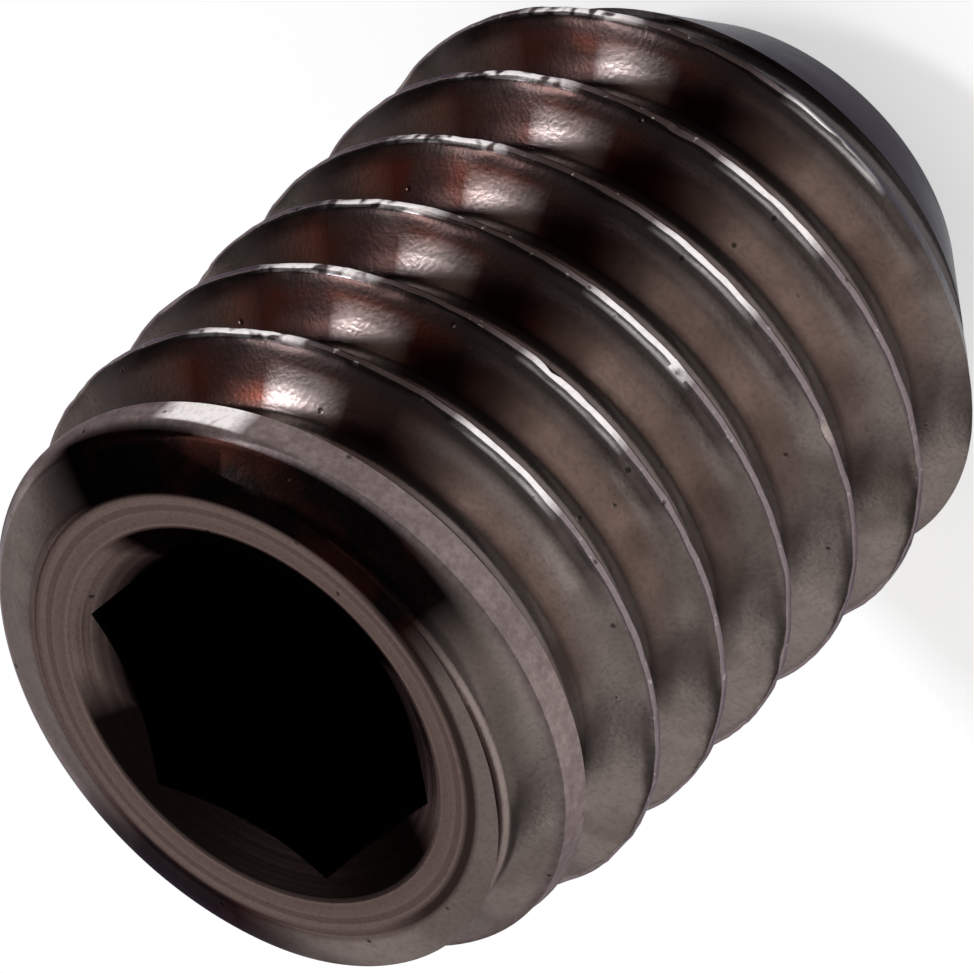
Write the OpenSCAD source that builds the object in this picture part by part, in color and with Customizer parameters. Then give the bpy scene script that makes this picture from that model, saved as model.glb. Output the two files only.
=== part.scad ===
// Hexagon socket set screw (grub screw), M6 x 1, 8 mm long, cup point.
// It stands on its cup point, with the socket up along +Z.
// The screw is one solid. Its thread is a swept helix that runs out over
// the domed socket end and over the cone of the point.

/* [Thread] */
// Outside diameter over the thread crests
thread_d = 6; // [5.7:0.05:6.6]
// Distance from one crest to the next
pitch = 1; // [0.8:0.05:1.25]
// Width of the flat left on top of the crest
crest_w = 0.1; // [0.06:0.01:0.2]
// Radius rolled into the root, tangent to both flanks
root_r = 0.18; // [0.1:0.01:0.24]
// Angle between the two flanks of the thread
flank_angle = 60; // [55:1:62]
// Where the helix starts round the screw, in degrees
start_angle = 14; // [0:1:359]
// Flats that make one turn of the helix
turn_facets = 60; // [36:4:64]

/* [Body] */
// Overall length, from the cup rim to the socket face
length = 8; // [6.5:0.5:10]

/* [Socket end] */
// Diameter of the flat ring face round the socket
face_d = 4.44; // [4.1:0.02:4.8]
// Diameter of the domed nose where it meets the thread
nose_d = 5.4; // [5:0.04:5.6]
// Height of the domed nose from there up to the ring face
nose_h = 0.15; // [0.1:0.01:0.4]
// How steeply the nose leaves the ring face, as a share of its mean slope
nose_start = 0.6; // [0.3:0.05:1]
// Diameter that the unfinished first crest reaches
first_crest_d = 5.64; // [5.62:0.02:5.8]
// Length over which the first crest stays unfinished
first_crest_h = 0.95; // [0.7:0.05:1.2]
// Width of the flattened top of that crest
first_crest_w = 0.65; // [0.2:0.05:0.7]

/* [Socket] */
// Width of the hexagon across its flats
socket_af = 3; // [2:0.1:3.2]
// Depth of the hexagon's flats below the face
socket_depth = 3.5; // [2:0.1:3.8]
// Diameter of the countersink at the face
mouth_d = 3.8; // [3.75:0.01:4]
// Included angle of the countersink
mouth_angle = 120; // [90:5:125]
// Turn of the hexagon about the screw's axis, in degrees
socket_turn = 0; // [0:1:59]
// Included angle of the drilled bottom below the flats
drill_angle = 120; // [90:2:140]
// How much narrower the drilled bottom is than the flats
drill_margin = 0.1; // [0.02:0.02:0.3]

/* [Point] */
// Outside diameter of the cup rim that the screw stands on
point_d = 3.6; // [3:0.1:4]
// Height of the cone from the cup rim to the full thread
point_h = 1.5; // [1:0.1:1.8]
// Width of the flat land round the cup rim
rim_w = 0.12; // [0.06:0.02:0.3]
// Included angle of the cup
cup_angle = 120; // [100:5:140]

/* [Hidden] */

steel = [0.36, 0.31, 0.29];
$fn = 96;

// Radii and half angles that the profiles use
crest_r = thread_d/2;
half_flank = flank_angle/2;
face_r = face_d/2;
nose_r = nose_d/2;
first_crest_r = first_crest_d/2;
point_r = point_d/2;
mouth_r = mouth_d/2;
hex_corner_r = socket_af/2/cos(30);
drill_r = (socket_af - drill_margin)/2;
cup_r = point_r - rim_w;

// Depth of the thread, from the crest down to the bottom of the root arc
flank_depth = (pitch - crest_w)/2/tan(half_flank);
thread_depth = flank_depth - root_r*(1/sin(half_flank) - 1);

// How far cutting shapes and the uncut helix reach past the screw
over = 0.15;

// One pitch of the thread as [height above the crest's middle, radius]:
// the crest flat, then the root arc, which the straight flanks run into.
root_steps = 4;
arc_half = 90 - half_flank;
root_centre_r = crest_r - thread_depth + root_r;
function root_point(i) =
    let (a = -arc_half + 2*arc_half*i/root_steps)
    [pitch/2 + root_r*sin(a), root_centre_r - root_r*cos(a)];
one_pitch = concat(
    [[-crest_w/2, crest_r], [crest_w/2, crest_r]],
    [for (i = [0:root_steps]) root_point(i)]);

// The thread as a closed helical rod, longer than the screw at both ends.
// Column c holds the profile at one angle, and each turn starts one pitch up.
// The helix is right-handed: it climbs as it turns anticlockwise seen from above.
module thread_rod() {
    n = len(one_pitch);
    turns = ceil(length/pitch) + 3;
    rows = turns*n;
    base_z = -2*pitch;

    function rod_point(c, row) =
        let (p = one_pitch[row % n],
             a = start_angle + 360*c/turn_facets,
             z = base_z + pitch*(floor(row/n) + c/turn_facets) + p[0])
        [p[1]*cos(a), p[1]*sin(a), z];

    points = concat(
        [for (c = [0:turn_facets - 1], row = [0:rows - 1]) rod_point(c, row)],
        [[0, 0, base_z + pitch/2], [0, 0, base_z + turns*pitch]]);
    low_centre = turn_facets*rows;
    high_centre = low_centre + 1;

    // Index of a point, where the column after the last is the first, one pitch up
    function at(c, row) = c < turn_facets ? c*rows + row : row + n;

    sides = [for (c = [0:turn_facets - 1],
                  row = [0:(c < turn_facets - 1 ? rows : rows - n) - 2],
                  half = [0, 1])
        half == 0 ? [at(c, row), at(c, row + 1), at(c + 1, row + 1)]
                  : [at(c, row), at(c + 1, row + 1), at(c + 1, row)]];
    low_ramp = [for (c = [0:turn_facets - 1])
        [low_centre, at(c, 0), at(c + 1, 0)]];
    low_step = [for (row = [0:n - 1])
        [low_centre, at(0, row + 1), at(0, row)]];
    high_ramp = [for (c = [0:turn_facets - 2])
        [high_centre, at(c + 1, rows - 1), at(c, rows - 1)]];
    high_step = [for (row = [rows - n - 1:rows - 2])
        [high_centre, at(turn_facets - 1, row), at(turn_facets - 1, row + 1)]];
    high_join = [[high_centre, at(0, rows - 1), at(turn_facets - 1, rows - n - 1)]];

    polyhedron(points, concat(sides, low_ramp, low_step, high_ramp, high_step, high_join),
               convexity = 10);
}

// Outline that the screw keeps within: the cone of the point, the domed nose
// and the unfinished first crest. Between them it clears the thread.
module turned_outline() {
    point_slope = (crest_r - point_r)/point_h;
    clear_r = crest_r + over;
    cone_top = (clear_r - point_r)/point_slope;
    flat_top = max(nose_h + over/3, first_crest_h - first_crest_w);
    nose_steps = 4;
    function nose_point(u) =
        [nose_r + (face_r - nose_r)*u,
         length - nose_h*(1 - u)*(nose_start + (1 - nose_start)*(1 - u))];
    rotate_extrude()
        polygon(concat(
            [[0, 0], [point_r, 0], [clear_r, cone_top],
             [clear_r, length - first_crest_h - 2*over],
             [first_crest_r, length - first_crest_h],
             [first_crest_r, length - flat_top]],
            [for (i = [0:nose_steps]) nose_point(i/nose_steps)],
            [[0, length]]));
}

// Hexagon socket with its countersunk mouth and drilled bottom
module socket() {
    floor_z = length - socket_depth;
    mouth_h = mouth_r/tan(mouth_angle/2);
    drill_h = drill_r/tan(drill_angle/2);
    rotate([0, 0, socket_turn])
        translate([0, 0, floor_z])
            cylinder(r = hex_corner_r, h = socket_depth + over, $fn = 6);
    translate([0, 0, length - mouth_h])
        cylinder(r1 = 0, r2 = mouth_r*(mouth_h + over)/mouth_h, h = mouth_h + over);
    translate([0, 0, floor_z - drill_h])
        cylinder(r1 = 0, r2 = drill_r, h = drill_h);
}

// Conical hollow in the point, which leaves a narrow rim to bite the shaft
module cup() {
    cup_h = cup_r/tan(cup_angle/2);
    translate([0, 0, -over])
        cylinder(r1 = cup_r*(cup_h + over)/cup_h, r2 = 0, h = cup_h + over);
}

module set_screw() {
    color(steel)
        difference() {
            intersection() {
                thread_rod();
                turned_outline();
            }
            socket();
            cup();
        }
}

set_screw();
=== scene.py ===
"""Looks of an M6 x 1 x 8 mm grub set screw of dark burnished steel.

The screw is one piece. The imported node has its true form, and the piece made here is the same
form with finer facets, rounded crest edges, nicks, rolling marks, turning marks and wear.
Meshes are made in millimetres and turned to metres when they are finished.
"""

import functools
import math

import bmesh
import bpy
from mathutils import Matrix, Vector, noise


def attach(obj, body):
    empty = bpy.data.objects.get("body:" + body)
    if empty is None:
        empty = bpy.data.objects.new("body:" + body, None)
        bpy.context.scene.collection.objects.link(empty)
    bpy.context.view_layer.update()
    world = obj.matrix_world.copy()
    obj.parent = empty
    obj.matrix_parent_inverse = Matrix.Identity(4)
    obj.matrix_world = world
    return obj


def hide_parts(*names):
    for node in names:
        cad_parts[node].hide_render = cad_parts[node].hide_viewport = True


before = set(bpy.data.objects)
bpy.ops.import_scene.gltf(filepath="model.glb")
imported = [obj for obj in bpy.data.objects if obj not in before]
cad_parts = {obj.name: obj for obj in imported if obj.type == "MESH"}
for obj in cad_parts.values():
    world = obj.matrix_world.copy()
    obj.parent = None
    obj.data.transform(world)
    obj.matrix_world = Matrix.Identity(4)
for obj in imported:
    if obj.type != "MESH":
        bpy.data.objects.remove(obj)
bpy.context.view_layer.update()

MM = 0.001

# The screw's sizes, as in the part's source. The crest is kept a hair inside the node's facets.
LENGTH = 8.0
CREST_R = 2.9975
PITCH = 1.0
CREST_W = 0.10
ROOT_R = 0.18
HALF_FLANK = math.radians(30)
START_ANGLE = math.radians(14)
FLANK_DEPTH = (PITCH - CREST_W) / 2 / math.tan(HALF_FLANK)
THREAD_DEPTH = FLANK_DEPTH - ROOT_R * (1 / math.sin(HALF_FLANK) - 1)

FACE_R, NOSE_R, NOSE_H, NOSE_START = 2.22, 2.70, 0.15, 0.6
FIRST_CREST_R, FIRST_CREST_H, FIRST_CREST_W = 2.82, 0.95, 0.65
SOCKET_AF, SOCKET_DEPTH = 3.0, 3.5
MOUTH_R, MOUTH_HALF = 1.90, math.radians(60)
DRILL_R, DRILL_HALF = 1.45, math.radians(60)
POINT_R, POINT_H, RIM_W, CUP_HALF = 1.80, 1.50, 0.12, math.radians(60)

OVER = 0.15            # how far a cutting shape reaches past what it cuts
TURN_STEPS = 200       # facets in one turn of the helix
TURNED_STEPS = 256     # facets round a turned shape
CREST_FLAT = 0.045     # flat that is left on the crest between its rounded edges
SHOULDER = 0.10        # how far down the flank that rounding reaches
SHARP_DEG = 28         # facets that meet at more than this are shaded with a sharp edge

# How uneven rolling leaves the crests: how far down it is felt, how far the tops are lowered,
# and how far they wander along the axis.
UNEVEN_DEPTH, UNEVEN_LOW, UNEVEN_WANDER = 0.12, 0.012, 0.010

# Where round the screw shade and highlights are painted, in degrees from +X towards +Y.
SHADED_FLANK_SIDE = 226.0          # flanks with painted shade, in dark brown oxide tones
FLANK_HIGHLIGHT_SPOT = 222.7     # painted highlight on those flanks
SHOULDER_SHADE_SIDE = 211.0     # painted shade on the shoulders of the crests
CREST_HIGHLIGHT_SIDE = 184.7          # painted highlight on the crests
CREST_HIGHLIGHT_BACK = 235.7          # painted highlight on the crests, in patches
CREST_SHADE_GAP = 210.7           # painted shade on the crests between those two
FIRST_CREST_HIGHLIGHT = 232.7   # painted highlight on the low first crest
NOSE_SHADE_SIDE = 219.7          # painted shade on the domed nose, in black-brown oxide tones
NOSE_SHADE_BACK = 20.0      # painted shade once more on its other side
SINK_SHADE_SIDE = 40.0           # painted shade in the countersink
SINK_SHADE_NEAR = 215.0     # painted shade once more on its other side
RIM_SHADE_SIDE = 134.0           # painted shade: a dark line round the ring face


def on_screw(azimuth, radius, height):
    a = math.radians(azimuth)
    return Vector((radius * math.cos(a), radius * math.sin(a), height))


# Nicks in the crests: place, width and depth in millimetres.
NICKS = [(on_screw(212, CREST_R, 6.37), 0.10, 0.04), (on_screw(190, CREST_R, 5.43), 0.08, 0.04),
         (on_screw(176, CREST_R, 4.46), 0.07, 0.05), (on_screw(204, CREST_R, 2.52), 0.09, 0.05),
         (on_screw(150, CREST_R, 3.38), 0.10, 0.04), (on_screw(160, CREST_R, 1.41), 0.08, 0.03),
         (on_screw(60, CREST_R, 4.1), 0.12, 0.05), (on_screw(20, CREST_R, 2.1), 0.09, 0.04),
         (on_screw(330, CREST_R, 5.0), 0.10, 0.05)]


def between(start, end, share):
    return tuple(a + (b - a) * share for a, b in zip(start, end))


def eased(before, corner, after, size, steps=4):
    """The points of a corner worn round: a parabola that touches both sides `size` away."""
    away = []
    for side in (before, after):
        reach = math.dist(corner, side)
        away.append(between(corner, side, min(size / reach, 0.45)))
    points = []
    for i in range(steps + 1):
        t = i / steps
        points.append(between(between(away[0], corner, t), between(corner, away[1], t), t))
    return points


def turned_chain(corners, sizes):
    """A chain of (radius, height) corners, each eased by its own size. 0 keeps it sharp."""
    chain = [corners[0]]
    for i in range(1, len(corners) - 1):
        if sizes.get(i):
            chain += eased(corners[i - 1], corners[i], corners[i + 1], sizes[i])
        else:
            chain.append(corners[i])
    return chain + [corners[-1]]


def polyline(bm, points):
    """A chain of edges through (radius, height) points in the XZ plane."""
    verts = [bm.verts.new((r, 0.0, z)) for r, z in points]
    return verts + [bm.edges.new(pair) for pair in zip(verts, verts[1:])]


def object_from(bm, name):
    """Turns a bmesh into an object at the origin, with its doubles merged and normals outwards."""
    bmesh.ops.remove_doubles(bm, verts=bm.verts, dist=1e-5)
    bmesh.ops.recalc_face_normals(bm, faces=bm.faces)
    mesh = bpy.data.meshes.new(name)
    bm.to_mesh(mesh)
    bm.free()
    made = bpy.data.objects.new(name, mesh)
    bpy.context.scene.collection.objects.link(made)
    return made


def cut(body, tool, operation):
    """Applies one exact boolean to a body's mesh and removes the tool."""
    step = body.modifiers.new("cut", "BOOLEAN")
    step.operation = operation
    step.solver = "EXACT"
    step.object = tool
    graph = bpy.context.evaluated_depsgraph_get()
    result = bpy.data.meshes.new_from_object(body.evaluated_get(graph))
    body.modifiers.remove(step)
    old, body.data = body.data, result
    bpy.data.meshes.remove(old)
    bpy.data.objects.remove(tool)


def thread_profile():
    """One pitch of the thread as (radius, height): a crest with its edges worn round,
    straight flanks, and the arc that rolling leaves in the root."""
    turn = math.pi / 2 - HALF_FLANK
    corner = (CREST_R, CREST_W / 2)
    down_flank = (CREST_R - SHOULDER * math.cos(HALF_FLANK),
                  CREST_W / 2 + SHOULDER * math.sin(HALF_FLANK))
    edge = []
    for i in range(6):
        t = i / 5
        edge.append(between(between((CREST_R, CREST_FLAT / 2), corner, t),
                            between(corner, down_flank, t), t))
    crest = [(r, -z) for r, z in reversed(edge)] + edge
    root_centre_r = CREST_R - THREAD_DEPTH + ROOT_R
    root = []
    for i in range(7):
        a = turn * (i / 3 - 1)
        root.append((root_centre_r - ROOT_R * math.cos(a), PITCH / 2 + ROOT_R * math.sin(a)))
    next_crest = (crest[0][0], crest[0][1] + PITCH)
    down = [between(crest[-1], root[0], t) for t in (0.06, 0.5)]
    up = [between(root[-1], next_crest, t) for t in (0.5, 0.94)]
    return crest + down + root + up + [next_crest]


def thread_rod():
    """The thread as a closed helical rod, longer than the screw at both ends."""
    bm = bmesh.new()
    turns = math.ceil(LENGTH / PITCH) + 2
    base = -2 * PITCH
    chain = polyline(bm, [(r, z + base) for r, z in thread_profile()])
    bmesh.ops.spin(bm, geom=chain, cent=(0, 0, 0), axis=(0, 0, 1), angle=math.tau,
                   dvec=(0, 0, PITCH / TURN_STEPS), steps=TURN_STEPS,
                   use_merge=False, use_normal_flip=False, use_duplicate=False)
    # the first turn is copied up the rod, which is much quicker than spinning every turn
    one_turn = bm.verts[:] + bm.edges[:] + bm.faces[:]
    for turn in range(1, turns):
        made = bmesh.ops.duplicate(bm, geom=one_turn)
        verts = [v for v in made["geom"] if isinstance(v, bmesh.types.BMVert)]
        bmesh.ops.translate(bm, verts=verts, vec=(0, 0, turn * PITCH))
    bmesh.ops.remove_doubles(bm, verts=bm.verts, dist=1e-4)
    open_edges = [e for e in bm.edges if e.is_boundary]
    middle = base + (turns + 1) * PITCH / 2
    for side, centre_z in ((-1, base + PITCH / 2), (1, base + (turns + 0.5) * PITCH)):
        ring = [e for e in open_edges if (e.verts[0].co.z - middle) * side > 0]
        made = bmesh.ops.extrude_edge_only(bm, edges=ring)
        inner = [v for v in made["geom"] if isinstance(v, bmesh.types.BMVert)]
        bmesh.ops.pointmerge(bm, verts=inner, merge_co=(0, 0, centre_z))
    bmesh.ops.rotate(bm, verts=bm.verts, cent=(0, 0, 0),
                     matrix=Matrix.Rotation(START_ANGLE, 3, "Z"))
    return object_from(bm, "thread_rod")


def turned(points, name):
    """A solid of revolution of (radius, height) points that start and end on the axis."""
    bm = bmesh.new()
    bmesh.ops.spin(bm, geom=polyline(bm, points), cent=(0, 0, 0), axis=(0, 0, 1),
                   angle=math.tau, dvec=(0, 0, 0), steps=TURNED_STEPS, use_merge=True,
                   use_normal_flip=False, use_duplicate=False)
    return object_from(bm, name)


def turned_outline():
    """What the rolled thread is kept within, from the middle of the cup to the middle of the
    countersink: cup, rim, cone of the point, low first crest, nose, ring face, countersink."""
    slope = (CREST_R - POINT_R) / POINT_H
    clear_r = CREST_R + OVER
    cup_r = POINT_R - RIM_W
    nose = []
    for i in range(9):
        u = i / 8
        nose.append((NOSE_R + (FACE_R - NOSE_R) * u,
                     LENGTH - NOSE_H * (1 - u) * (NOSE_START + (1 - NOSE_START) * (1 - u))))
    corners = [(0, cup_r / math.tan(CUP_HALF)), (cup_r, 0), (POINT_R, 0),
               (clear_r, (clear_r - POINT_R) / slope),
               (clear_r, LENGTH - FIRST_CREST_H - 2 * OVER),
               (FIRST_CREST_R, LENGTH - FIRST_CREST_H),
               (FIRST_CREST_R, LENGTH - FIRST_CREST_H + FIRST_CREST_W)] + nose + [
               (MOUTH_R, LENGTH), (0, LENGTH - MOUTH_R / math.tan(MOUTH_HALF))]
    # how far each corner is worn round, by its place in the list
    rim = {1: 0.02, 2: 0.02}
    first_crest = {5: 0.12, 6: 0.04}
    nose_and_face = {7: 0.05, 15: 0.03, 16: 0.05}
    return turned(turned_chain(corners, rim | first_crest | nose_and_face), "turned_outline")


def socket_cutter():
    """The hexagon that the broach leaves, with the cone of the drilled hole below it."""
    bm = bmesh.new()
    corner_r = SOCKET_AF / 2 / math.cos(math.pi / 6)
    floor = LENGTH - SOCKET_DEPTH
    bmesh.ops.create_circle(bm, cap_ends=True, segments=6, radius=corner_r,
                            matrix=Matrix.Translation((0, 0, floor)))
    bmesh.ops.rotate(bm, verts=bm.verts, cent=(0, 0, 0), matrix=Matrix.Rotation(
        -math.atan2(bm.verts[:][0].co.y, bm.verts[:][0].co.x), 3, "Z"))
    made = bmesh.ops.extrude_face_region(bm, geom=bm.faces[:], use_keep_orig=True)
    top = [v for v in made["geom"] if isinstance(v, bmesh.types.BMVert)]
    bmesh.ops.translate(bm, verts=top, vec=(0, 0, SOCKET_DEPTH + OVER))
    cutter = object_from(bm, "socket_cutter")
    drill_h = DRILL_R / math.tan(DRILL_HALF)
    cut(cutter, turned([(0, floor - drill_h), (DRILL_R, floor), (DRILL_R, floor + OVER),
                        (0, floor + OVER)], "drill_cutter"), "UNION")
    return cutter


def wear(bm):
    """Leaves the crests a little uneven, as rolling does, with a few nicks from handling."""
    for v in bm.verts:
        r = math.hypot(v.co.x, v.co.y)
        depth = CREST_R - r
        if depth > UNEVEN_DEPTH or v.co.z < 0.2:
            continue
        share = 1 - depth / UNEVEN_DEPTH
        rough = noise.noise(v.co * 3.1) + 0.6 * noise.noise(v.co * 11)
        lower = UNEVEN_LOW * share * (0.6 + rough)
        for place, size, deep in NICKS:
            away = (v.co - place).length / size
            if away < 1:
                lower += deep * (1 - away * away) ** 2
        lower = max(lower, 0)
        v.co.x *= 1 - lower / r
        v.co.y *= 1 - lower / r
        v.co.z += UNEVEN_WANDER * share * noise.noise(v.co * 5 + Vector((7, 3, 1)))


def make_screw():
    """The screw as one finished object: the rod kept within its outline, less its socket."""
    body = thread_rod()
    cut(body, turned_outline(), "INTERSECT")
    cut(body, socket_cutter(), "DIFFERENCE")
    mesh = body.data
    bm = bmesh.new()
    bm.from_mesh(mesh)
    bmesh.ops.remove_doubles(bm, verts=bm.verts, dist=1e-4)
    bmesh.ops.dissolve_degenerate(bm, dist=1e-4, edges=bm.edges)
    wear(bm)
    bmesh.ops.scale(bm, vec=(MM, MM, MM), verts=bm.verts)
    for face in bm.faces:
        face.smooth = True
    bm.to_mesh(mesh)
    bm.free()
    mesh.set_sharp_from_angle(angle=math.radians(SHARP_DEG))
    body.name = "set_screw_body"
    mesh.name = "set_screw_body"
    return body


def linear(hex_colour):
    """An sRGB hex colour as linear RGBA."""
    channels = [int(hex_colour[i:i + 2], 16) / 255 for i in (1, 3, 5)]
    return [c / 12.92 if c <= 0.04045 else ((c + 0.055) / 1.055) ** 2.4 for c in channels] + [1.0]


# The kinds of node that the materials use, each with its settings.
TIMES = ("Math", {"operation": "MULTIPLY"})
PLUS = ("Math", {"operation": "ADD"})
MINUS = ("Math", {"operation": "SUBTRACT"})
LARGER = ("Math", {"operation": "MAXIMUM"})
BELOW = ("Math", {"operation": "LESS_THAN"})
RANGE = ("MapRange", {"clamp": True})
MIX = ("Mix", {"data_type": "RGBA"})
NOISE = ("TexNoise", {"noise_dimensions": "3D"})
NOISE_1D = ("TexNoise", {"noise_dimensions": "1D"})
SCALE = ("VectorMath", {"operation": "SCALE"})
STRETCH = ("VectorMath", {"operation": "MULTIPLY"})
DOT = ("VectorMath", {"operation": "DOT_PRODUCT"})
MEASURE = ("VectorMath", {"operation": "LENGTH"})
UNIT = ("VectorMath", {"operation": "NORMALIZE"})


def add(tree, kind, *values, **named):
    """Adds a node with its settings. Values go to the inputs that it uses, in their order or by
    name, and another node's output is linked. Returns the first output that it uses."""
    name, settings = kind
    node = tree.nodes.new("ShaderNode" + name)
    for key, value in settings.items():
        setattr(node, key, value)
    given = list(zip([s for s in node.inputs if s.enabled], values))
    given += [(node.inputs[key], value) for key, value in named.items()]
    for socket, value in given:
        if isinstance(value, bpy.types.NodeSocket):
            tree.links.new(value, socket)
        else:
            socket.default_value = value
    return next(s for s in node.outputs if s.enabled)


def burnished_steel():
    """Rolled and hardened alloy steel: a brown-grey metal with soft highlights, mottling, pits and
    worn flecks, with painted shade in oxide tones in patches and painted highlights on crests and
    flanks."""
    mat = bpy.data.materials.new("burnished_steel")
    mat.use_nodes = True
    tree = mat.node_tree
    node = functools.partial(add, tree)
    shader = tree.nodes["Principled BSDF"]
    shader.inputs["Metallic"].default_value = 1.0
    shader.inputs["Specular Tint"].default_value = linear("#9A9AA2")

    # where a point of the skin lies: its place in millimetres, its height up the screw, its
    # distance from the axis, and its direction round it
    mm = node(SCALE, node(("TexCoord", {})).node.outputs["Object"], 1 / MM)
    height = node(("SeparateXYZ", {}), mm).node.outputs["Z"]
    flat = node(STRETCH, mm, (1, 1, 0))
    radius = node(MEASURE, flat)
    around = node(UNIT, flat)

    def product(mask, *others):
        """1 where all the masks are 1, and less by any share among them."""
        for other in others:
            mask = node(TIMES, mask, other)
        return mask

    def facing(azimuth, edge, core):
        """1 within `core` degrees of an azimuth round the screw, and 0 past `edge` degrees."""
        turn = math.radians(azimuth)
        along = node(DOT, around, (math.cos(turn), math.sin(turn), 0))
        return node(RANGE, along, math.cos(math.radians(edge)), math.cos(math.radians(core)))

    def within(value, start, full, fade, end):
        """0 up to `start`, 1 from `full` to `fade`, and 0 again past `end`."""
        return product(node(RANGE, value, start, full), node(RANGE, value, end, fade))

    def tinted(colour, tint, *masks):
        """The colour with a tint laid over it where all the masks are 1."""
        return node(MIX, product(*masks), colour, tint)

    # grey and brown mottling of the burnished skin, about 0.3 mm across
    mottle = node(RANGE, node(NOISE, mm, 3.2, 3.0, 0.65), 0.30, 0.70)
    colour = tinted(linear("#A69791"), linear("#B2A39C"), mottle)
    # soft darker blotches, about 1 mm across
    blotch = node(RANGE, node(NOISE, mm, 0.9, 2.0, 0.6), 0.50, 0.64)
    colour = tinted(colour, linear("#75665F"), blotch, 0.55)

    # painted shade on one side outside the ring face, standing for dark reflections, in dark brown
    # oxide tones with reddish brown in places
    brown = node(RANGE, node(NOISE, mm, 1.3, 2.0, 0.55), 0.45, 0.62)
    oxide = tinted(linear("#382825"), linear("#46251D"), brown)
    outside = node(RANGE, radius, FACE_R - 0.02, FACE_R + 0.02)
    dark = product(facing(SHADED_FLANK_SIDE, 42, 21), outside)
    colour = tinted(colour, oxide, dark)
    # a painted highlight in the middle of the flanks there, in one place, where a lamp's
    # reflection falls
    colour = tinted(colour, linear("#B2A39C"), within(radius, 2.36, 2.42, 2.66, 2.84),
                    facing(FLANK_HIGHLIGHT_SPOT, 9, 3), 0.6)
    # the roots are darker, up to where the flanks leave the root arc
    root = product(node(RANGE, radius, 2.54, 2.45),
                   node(RANGE, height, LENGTH - 0.50, LENGTH - 0.60))
    colour = tinted(colour, linear("#3A302D"), root, 0.7)

    # the ring face and the countersink are turned, so they are a little darker and warmer, in
    # fine rings about 0.06 mm apart
    turning = node(NOISE_1D, node(TIMES, radius, 16), 1.0, 2.0)
    rings = tinted(linear("#77635F"), linear("#8D7871"), node(RANGE, turning, 0.35, 0.65))
    ring_face = product(node(RANGE, height, LENGTH - 0.10, LENGTH - 0.01),
                        node(RANGE, radius, FACE_R + 0.12, FACE_R + 0.04))
    sink = product(node(RANGE, radius, MOUTH_R + 0.02, MOUTH_R),
                   node(RANGE, height, LENGTH - 1.2, LENGTH - 1.1))
    turned_skin = node(LARGER, ring_face, sink)
    colour = tinted(colour, rings, turned_skin)
    # painted shade on one side: a dark line where the face turns down, and a duller band outside
    # it
    near_face = product(facing(RIM_SHADE_SIDE, 62, 44),
                        node(RANGE, height, LENGTH - 0.4, LENGTH - 0.3))
    line = within(radius, FACE_R - 0.08, FACE_R - 0.03, FACE_R + 0.03, FACE_R + 0.08)
    colour = tinted(colour, linear("#2E2523"), line, near_face, 0.85)
    band = within(radius, FACE_R + 0.04, FACE_R + 0.10, NOSE_R - 0.04, NOSE_R)
    colour = tinted(colour, linear("#84756F"), band, near_face, 0.8)

    # painted shade on the domed nose, near black in black-brown oxide tones, standing for dark
    # reflections
    nose_shade_tone = tinted(linear("#0E0A09"), linear("#2A130E"), brown)
    nose_shade_sides = node(LARGER, facing(NOSE_SHADE_SIDE, 62, 44), product(facing(NOSE_SHADE_BACK, 30, 12), 0.85))
    nose_shade_mask = product(outside, node(RANGE, height, LENGTH - 0.45, LENGTH - 0.30), nose_shade_sides)
    colour = tinted(colour, nose_shade_tone, nose_shade_mask)

    # the low first crest was never burnished by the dies, so it is dull and finely mottled
    first_crest = product(
        within(radius, FIRST_CREST_R - 0.08, FIRST_CREST_R - 0.02,
               FIRST_CREST_R + 0.02, FIRST_CREST_R + 0.06),
        node(RANGE, height, LENGTH - FIRST_CREST_H - 0.1, LENGTH - FIRST_CREST_H))
    fine_mottle = node(RANGE, node(NOISE, mm, 9.0, 2.0, 0.7), 0.40, 0.70)
    dull = tinted(linear("#857573"), linear("#9E8E8C"), fine_mottle)
    colour = tinted(colour, dull, first_crest, 0.85)

    # painted shade on the shoulders of the crests on one side
    colour = tinted(colour, linear("#2E2725"), node(RANGE, radius, 2.80, 2.89),
                    facing(SHOULDER_SHADE_SIDE, 58, 48), 0.8)
    # painted shade makes the crests thin dull lines, duller still in one stretch
    crest = node(RANGE, radius, CREST_R - 0.035, CREST_R - 0.012)
    colour = tinted(colour, linear("#887A7C"), crest, node(MINUS, 1.0, product(dark, 0.7)))
    colour = tinted(colour, linear("#3A302D"), crest, facing(CREST_SHADE_GAP, 13, 6))
    # painted highlights on the crests on one side, in patches about 0.15 mm across further back
    # and on the first crest, and worn bright flecks about 0.05 mm across all along
    wide_crest = node(RANGE, radius, CREST_R - 0.06, CREST_R - 0.03)
    highlight_and_wear = product(wide_crest, facing(CREST_HIGHLIGHT_SIDE, 12, 7))
    highlight_and_wear = node(LARGER, highlight_and_wear, product(
        crest, node(RANGE, node(NOISE, mm, 7.0, 1.0), 0.36, 0.50), facing(CREST_HIGHLIGHT_BACK, 13, 6)))
    highlight_and_wear = node(LARGER, highlight_and_wear, product(
        first_crest, node(RANGE, radius, FIRST_CREST_R - 0.016, FIRST_CREST_R - 0.008),
        node(RANGE, node(NOISE, mm, 5.0, 1.0), 0.26, 0.40), facing(FIRST_CREST_HIGHLIGHT, 10, 6)))
    flecks = node(RANGE, node(NOISE, mm, 15.0, 1.0), 0.66, 0.74)
    highlight_and_wear = node(LARGER, highlight_and_wear, product(crest, flecks, 0.25))
    colour = tinted(colour, linear("#FBF4F2"), highlight_and_wear)

    # painted shade darkens the cone of the point
    point = node(RANGE, height, POINT_H - 0.05, POINT_H - 0.35)
    colour = tinted(colour, linear("#565152"), point, 0.8)
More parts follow.
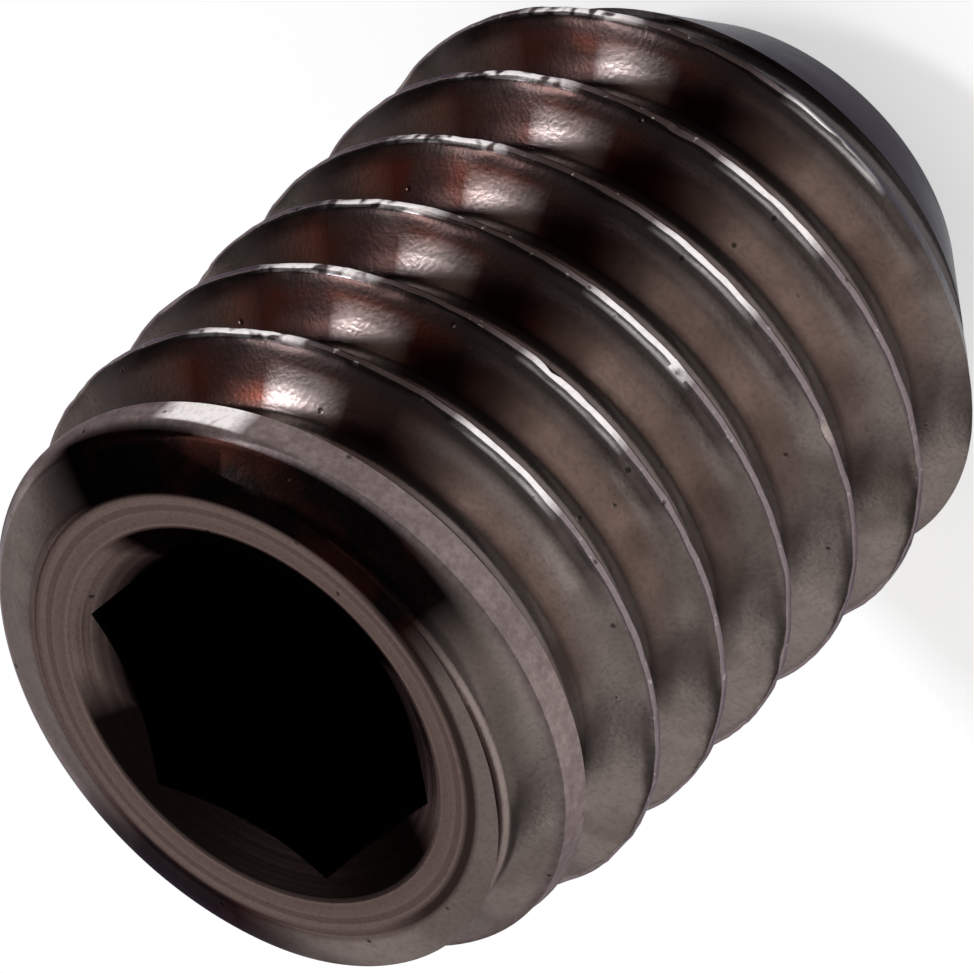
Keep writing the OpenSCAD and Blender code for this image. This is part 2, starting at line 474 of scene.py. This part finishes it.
    # painted shade, near black, in the hexagon and, on two sides, in the countersink
    hexagon = product(node(RANGE, radius, 1.86, 1.80),
                      node(RANGE, height, LENGTH - 0.06, LENGTH - 0.22))
    in_sink = node(RANGE, radius, MOUTH_R + 0.01, MOUTH_R - 0.03)
    socket_shade = node(LARGER, hexagon, product(in_sink, facing(SINK_SHADE_SIDE, 82, 64), 0.98))
    socket_shade = node(LARGER, socket_shade, product(in_sink, facing(SINK_SHADE_NEAR, 58, 45)))
    socket_shade = product(socket_shade, node(RANGE, height, 2.0, 3.0))
    colour = tinted(colour, linear("#120C0A"), socket_shade)

    # dark pits, about 0.05 mm across, in two cells out of five
    cells = node(("TexVoronoi", {}), mm, 3.4).node
    chosen = node(BELOW, node(("SeparateColor", {}), cells.outputs["Color"]), 0.4)
    pit = product(node(RANGE, cells.outputs["Distance"], 0.10, 0.05), chosen)
    colour = tinted(colour, linear("#1E1714"), pit, 0.7)
    # fine dark grain
    speck = node(RANGE, node(NOISE, mm, 22.0, 1.0, 0.6), 0.36, 0.50, 0.14, 0.0)
    colour = tinted(colour, linear("#2A211D"), speck)
    tree.links.new(colour, shader.inputs["Base Color"])

    # marks of the rolling dies run round the screw, about 0.07 mm apart, with a fine grain,
    # the turned rings and the pits
    rolling = node(NOISE, node(STRETCH, mm, (0.6, 0.6, 14)), 1.0, 1.0)
    grain = node(NOISE, mm, 26.0, 1.0)
    relief = node(PLUS, product(rolling, 0.25), product(grain, 0.5))
    relief = node(PLUS, relief, product(turning, turned_skin, 2.4))
    relief = node(MINUS, relief, product(pit, 2.0))
    bump = node(("Bump", {}), Strength=0.24, Distance=0.008 * MM, Height=relief)
    tree.links.new(bump, shader.inputs["Normal"])

    # the painted shade in the socket and on the nose is rougher than the burnished skin, and so is
    # the first crest
    rough_skin = node(LARGER, node(LARGER, socket_shade, first_crest), product(nose_shade_mask, 0.4))
    rough = node(PLUS, node(RANGE, mottle, 0.0, 1.0, 0.27, 0.21), product(rough_skin, 0.25))
    tree.links.new(rough, shader.inputs["Roughness"])
    return mat


# The photograph's view of the screw, found by fitting the crest lines, the socket and the
# outline: the angle between the screw's axis and the line of sight, the turn of the axis in the
# picture, the turn of the screw about its axis, where the socket's middle lies in the picture,
# its scale there, and how far away the camera stands.
AXIS_TO_SIGHT = math.radians(51.62)
AXIS_IN_PICTURE = math.radians(44.45)
SCREW_TURN = math.radians(274.7)
PICTURE_W, PICTURE_H = 974, 973
SOCKET_PX = (252.8, 714.9)
PX_PER_MM = 118.53
CAMERA_MM = 322.6


def picture_axes():
    """World directions of the picture's right, down and away."""
    ct, st = math.cos(AXIS_TO_SIGHT), math.sin(AXIS_TO_SIGHT)
    cp, sp = math.cos(AXIS_IN_PICTURE), math.sin(AXIS_IN_PICTURE)
    side = Vector((math.cos(SCREW_TURN), math.sin(SCREW_TURN), 0))
    near = Vector((math.sin(SCREW_TURN), -math.cos(SCREW_TURN), 0))
    down_axis = Vector((0, 0, -1))
    right = side * -sp + near * (ct * cp) + down_axis * (st * cp)
    down = side * -cp + near * (-ct * sp) + down_axis * (-st * sp)
    away = near * -st + down_axis * ct
    return right, down, away


def add_camera():
    """The camera at the photograph's viewing angle, rolled as there."""
    right, down, away = picture_axes()
    data = bpy.data.cameras.new("camera")
    data.lens = PX_PER_MM * CAMERA_MM * data.sensor_width / PICTURE_W
    data.clip_start, data.clip_end = 0.01, 100
    camera = bpy.data.objects.new("camera", data)
    bpy.context.scene.collection.objects.link(camera)
    off_x = (SOCKET_PX[0] - PICTURE_W / 2) / PX_PER_MM
    off_y = (SOCKET_PX[1] - PICTURE_H / 2) / PX_PER_MM
    place = (Vector((0, 0, LENGTH)) - right * off_x - down * off_y - away * CAMERA_MM) * MM
    turn = Matrix((right, -down, -away)).transposed()
    camera.matrix_world = Matrix.Translation(place) @ turn.to_4x4()
    bpy.context.scene.camera = camera


def add_softbox(name, azimuth, elevation, distance, width, height, level, colour):
    """A soft lamp that looks at the screw. Its azimuth counts from the camera's side, and its
    level is how bright its face is, where 1 is white."""
    a = math.radians(azimuth) + SCREW_TURN - math.pi / 2
    e = math.radians(elevation)
    towards = Vector((math.cos(a) * math.cos(e), math.sin(a) * math.cos(e), math.sin(e)))
    data = bpy.data.lights.new(name, "AREA")
    data.shape = "RECTANGLE"
    data.size, data.size_y = width, height
    data.energy = level * math.pi * width * height
    data.color = linear(colour)[:3]
    lamp = bpy.data.objects.new(name, data)
    bpy.context.scene.collection.objects.link(lamp)
    lamp.matrix_world = (Matrix.Translation(towards * distance + Vector((0, 0, LENGTH / 2 * MM)))
                         @ towards.to_track_quat("Z", "Y").to_matrix().to_4x4())


# Studio lamps: name, azimuth, elevation, distance, width, height, level and colour.
LAMPS = [("right_back_softbox", -159, 37, 0.8, 0.78, 1.0, 0.46, "#FFFFFF"),
         ("right_softbox", -84, 37, 0.8, 0.64, 1.0, 0.31, "#FFFFFF"),
         ("right_front_softbox", -42, 40, 0.8, 0.60, 0.95, 0.22, "#FFFFFF"),
         ("back_softbox", 160, 14, 0.8, 0.45, 0.36, 0.36, "#FFFFFF"),
         ("top_softbox", 0, 84, 0.8, 0.8, 0.8, 0.26, "#FFFFFF"),
         ("left_strip", 72, 20, 0.7, 0.13, 0.47, 1.2, "#FFF8F4"),
         ("left_lamp", 90, 50, 0.6, 0.08, 0.10, 38.0, "#F4F7FF"),
         ("left_card", 121, 42, 0.7, 0.13, 0.12, 0.6, "#FFB094")]
FLOOR_GLOW = 0.6       # how much the floor glows to the camera and in reflections, 1 is white
STUDIO_FILL = 0.06     # strength of the white world round the lamps


def add_floor():
    """A round sheet of white paper that takes the screw's shadow."""
    bm = bmesh.new()
    bmesh.ops.create_circle(bm, cap_ends=True, segments=128, radius=4.0)
    floor = object_from(bm, "floor")
    mat = bpy.data.materials.new("white_paper")
    mat.use_nodes = True
    tree = mat.node_tree
    tree.nodes.remove(tree.nodes["Principled BSDF"])
    ray = tree.nodes.new("ShaderNodeLightPath").outputs
    seen = add(tree, LARGER, ray["Is Camera Ray"], ray["Is Glossy Ray"])
    seen = add(tree, LARGER, seen, ray["Is Transmission Ray"])
    paper = add(tree, ("BsdfDiffuse", {}), linear("#F2F2F0"))
    glow = add(tree, ("Emission", {}), linear("#FFFFFF"), add(tree, TIMES, seen, FLOOR_GLOW))
    surface = add(tree, ("AddShader", {}), paper, glow)
    tree.links.new(surface, tree.nodes["Material Output"].inputs["Surface"])
    floor.data.materials.append(mat)


def add_world():
    """The white room round the lamps."""
    world = bpy.data.worlds.new("studio")
    bpy.context.scene.world = world
    world.use_nodes = True
    back = world.node_tree.nodes["Background"]
    back.inputs["Color"].default_value = linear("#FFFFFF")
    back.inputs["Strength"].default_value = STUDIO_FILL


screw = make_screw()
screw.data.materials.clear()
screw.data.materials.append(burnished_steel())
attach(screw, "root")
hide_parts("set_screw")

add_camera()
add_floor()
add_world()
for lamp in LAMPS:
    add_softbox(*lamp)
bpy.context.scene.view_settings.view_transform = "Standard"
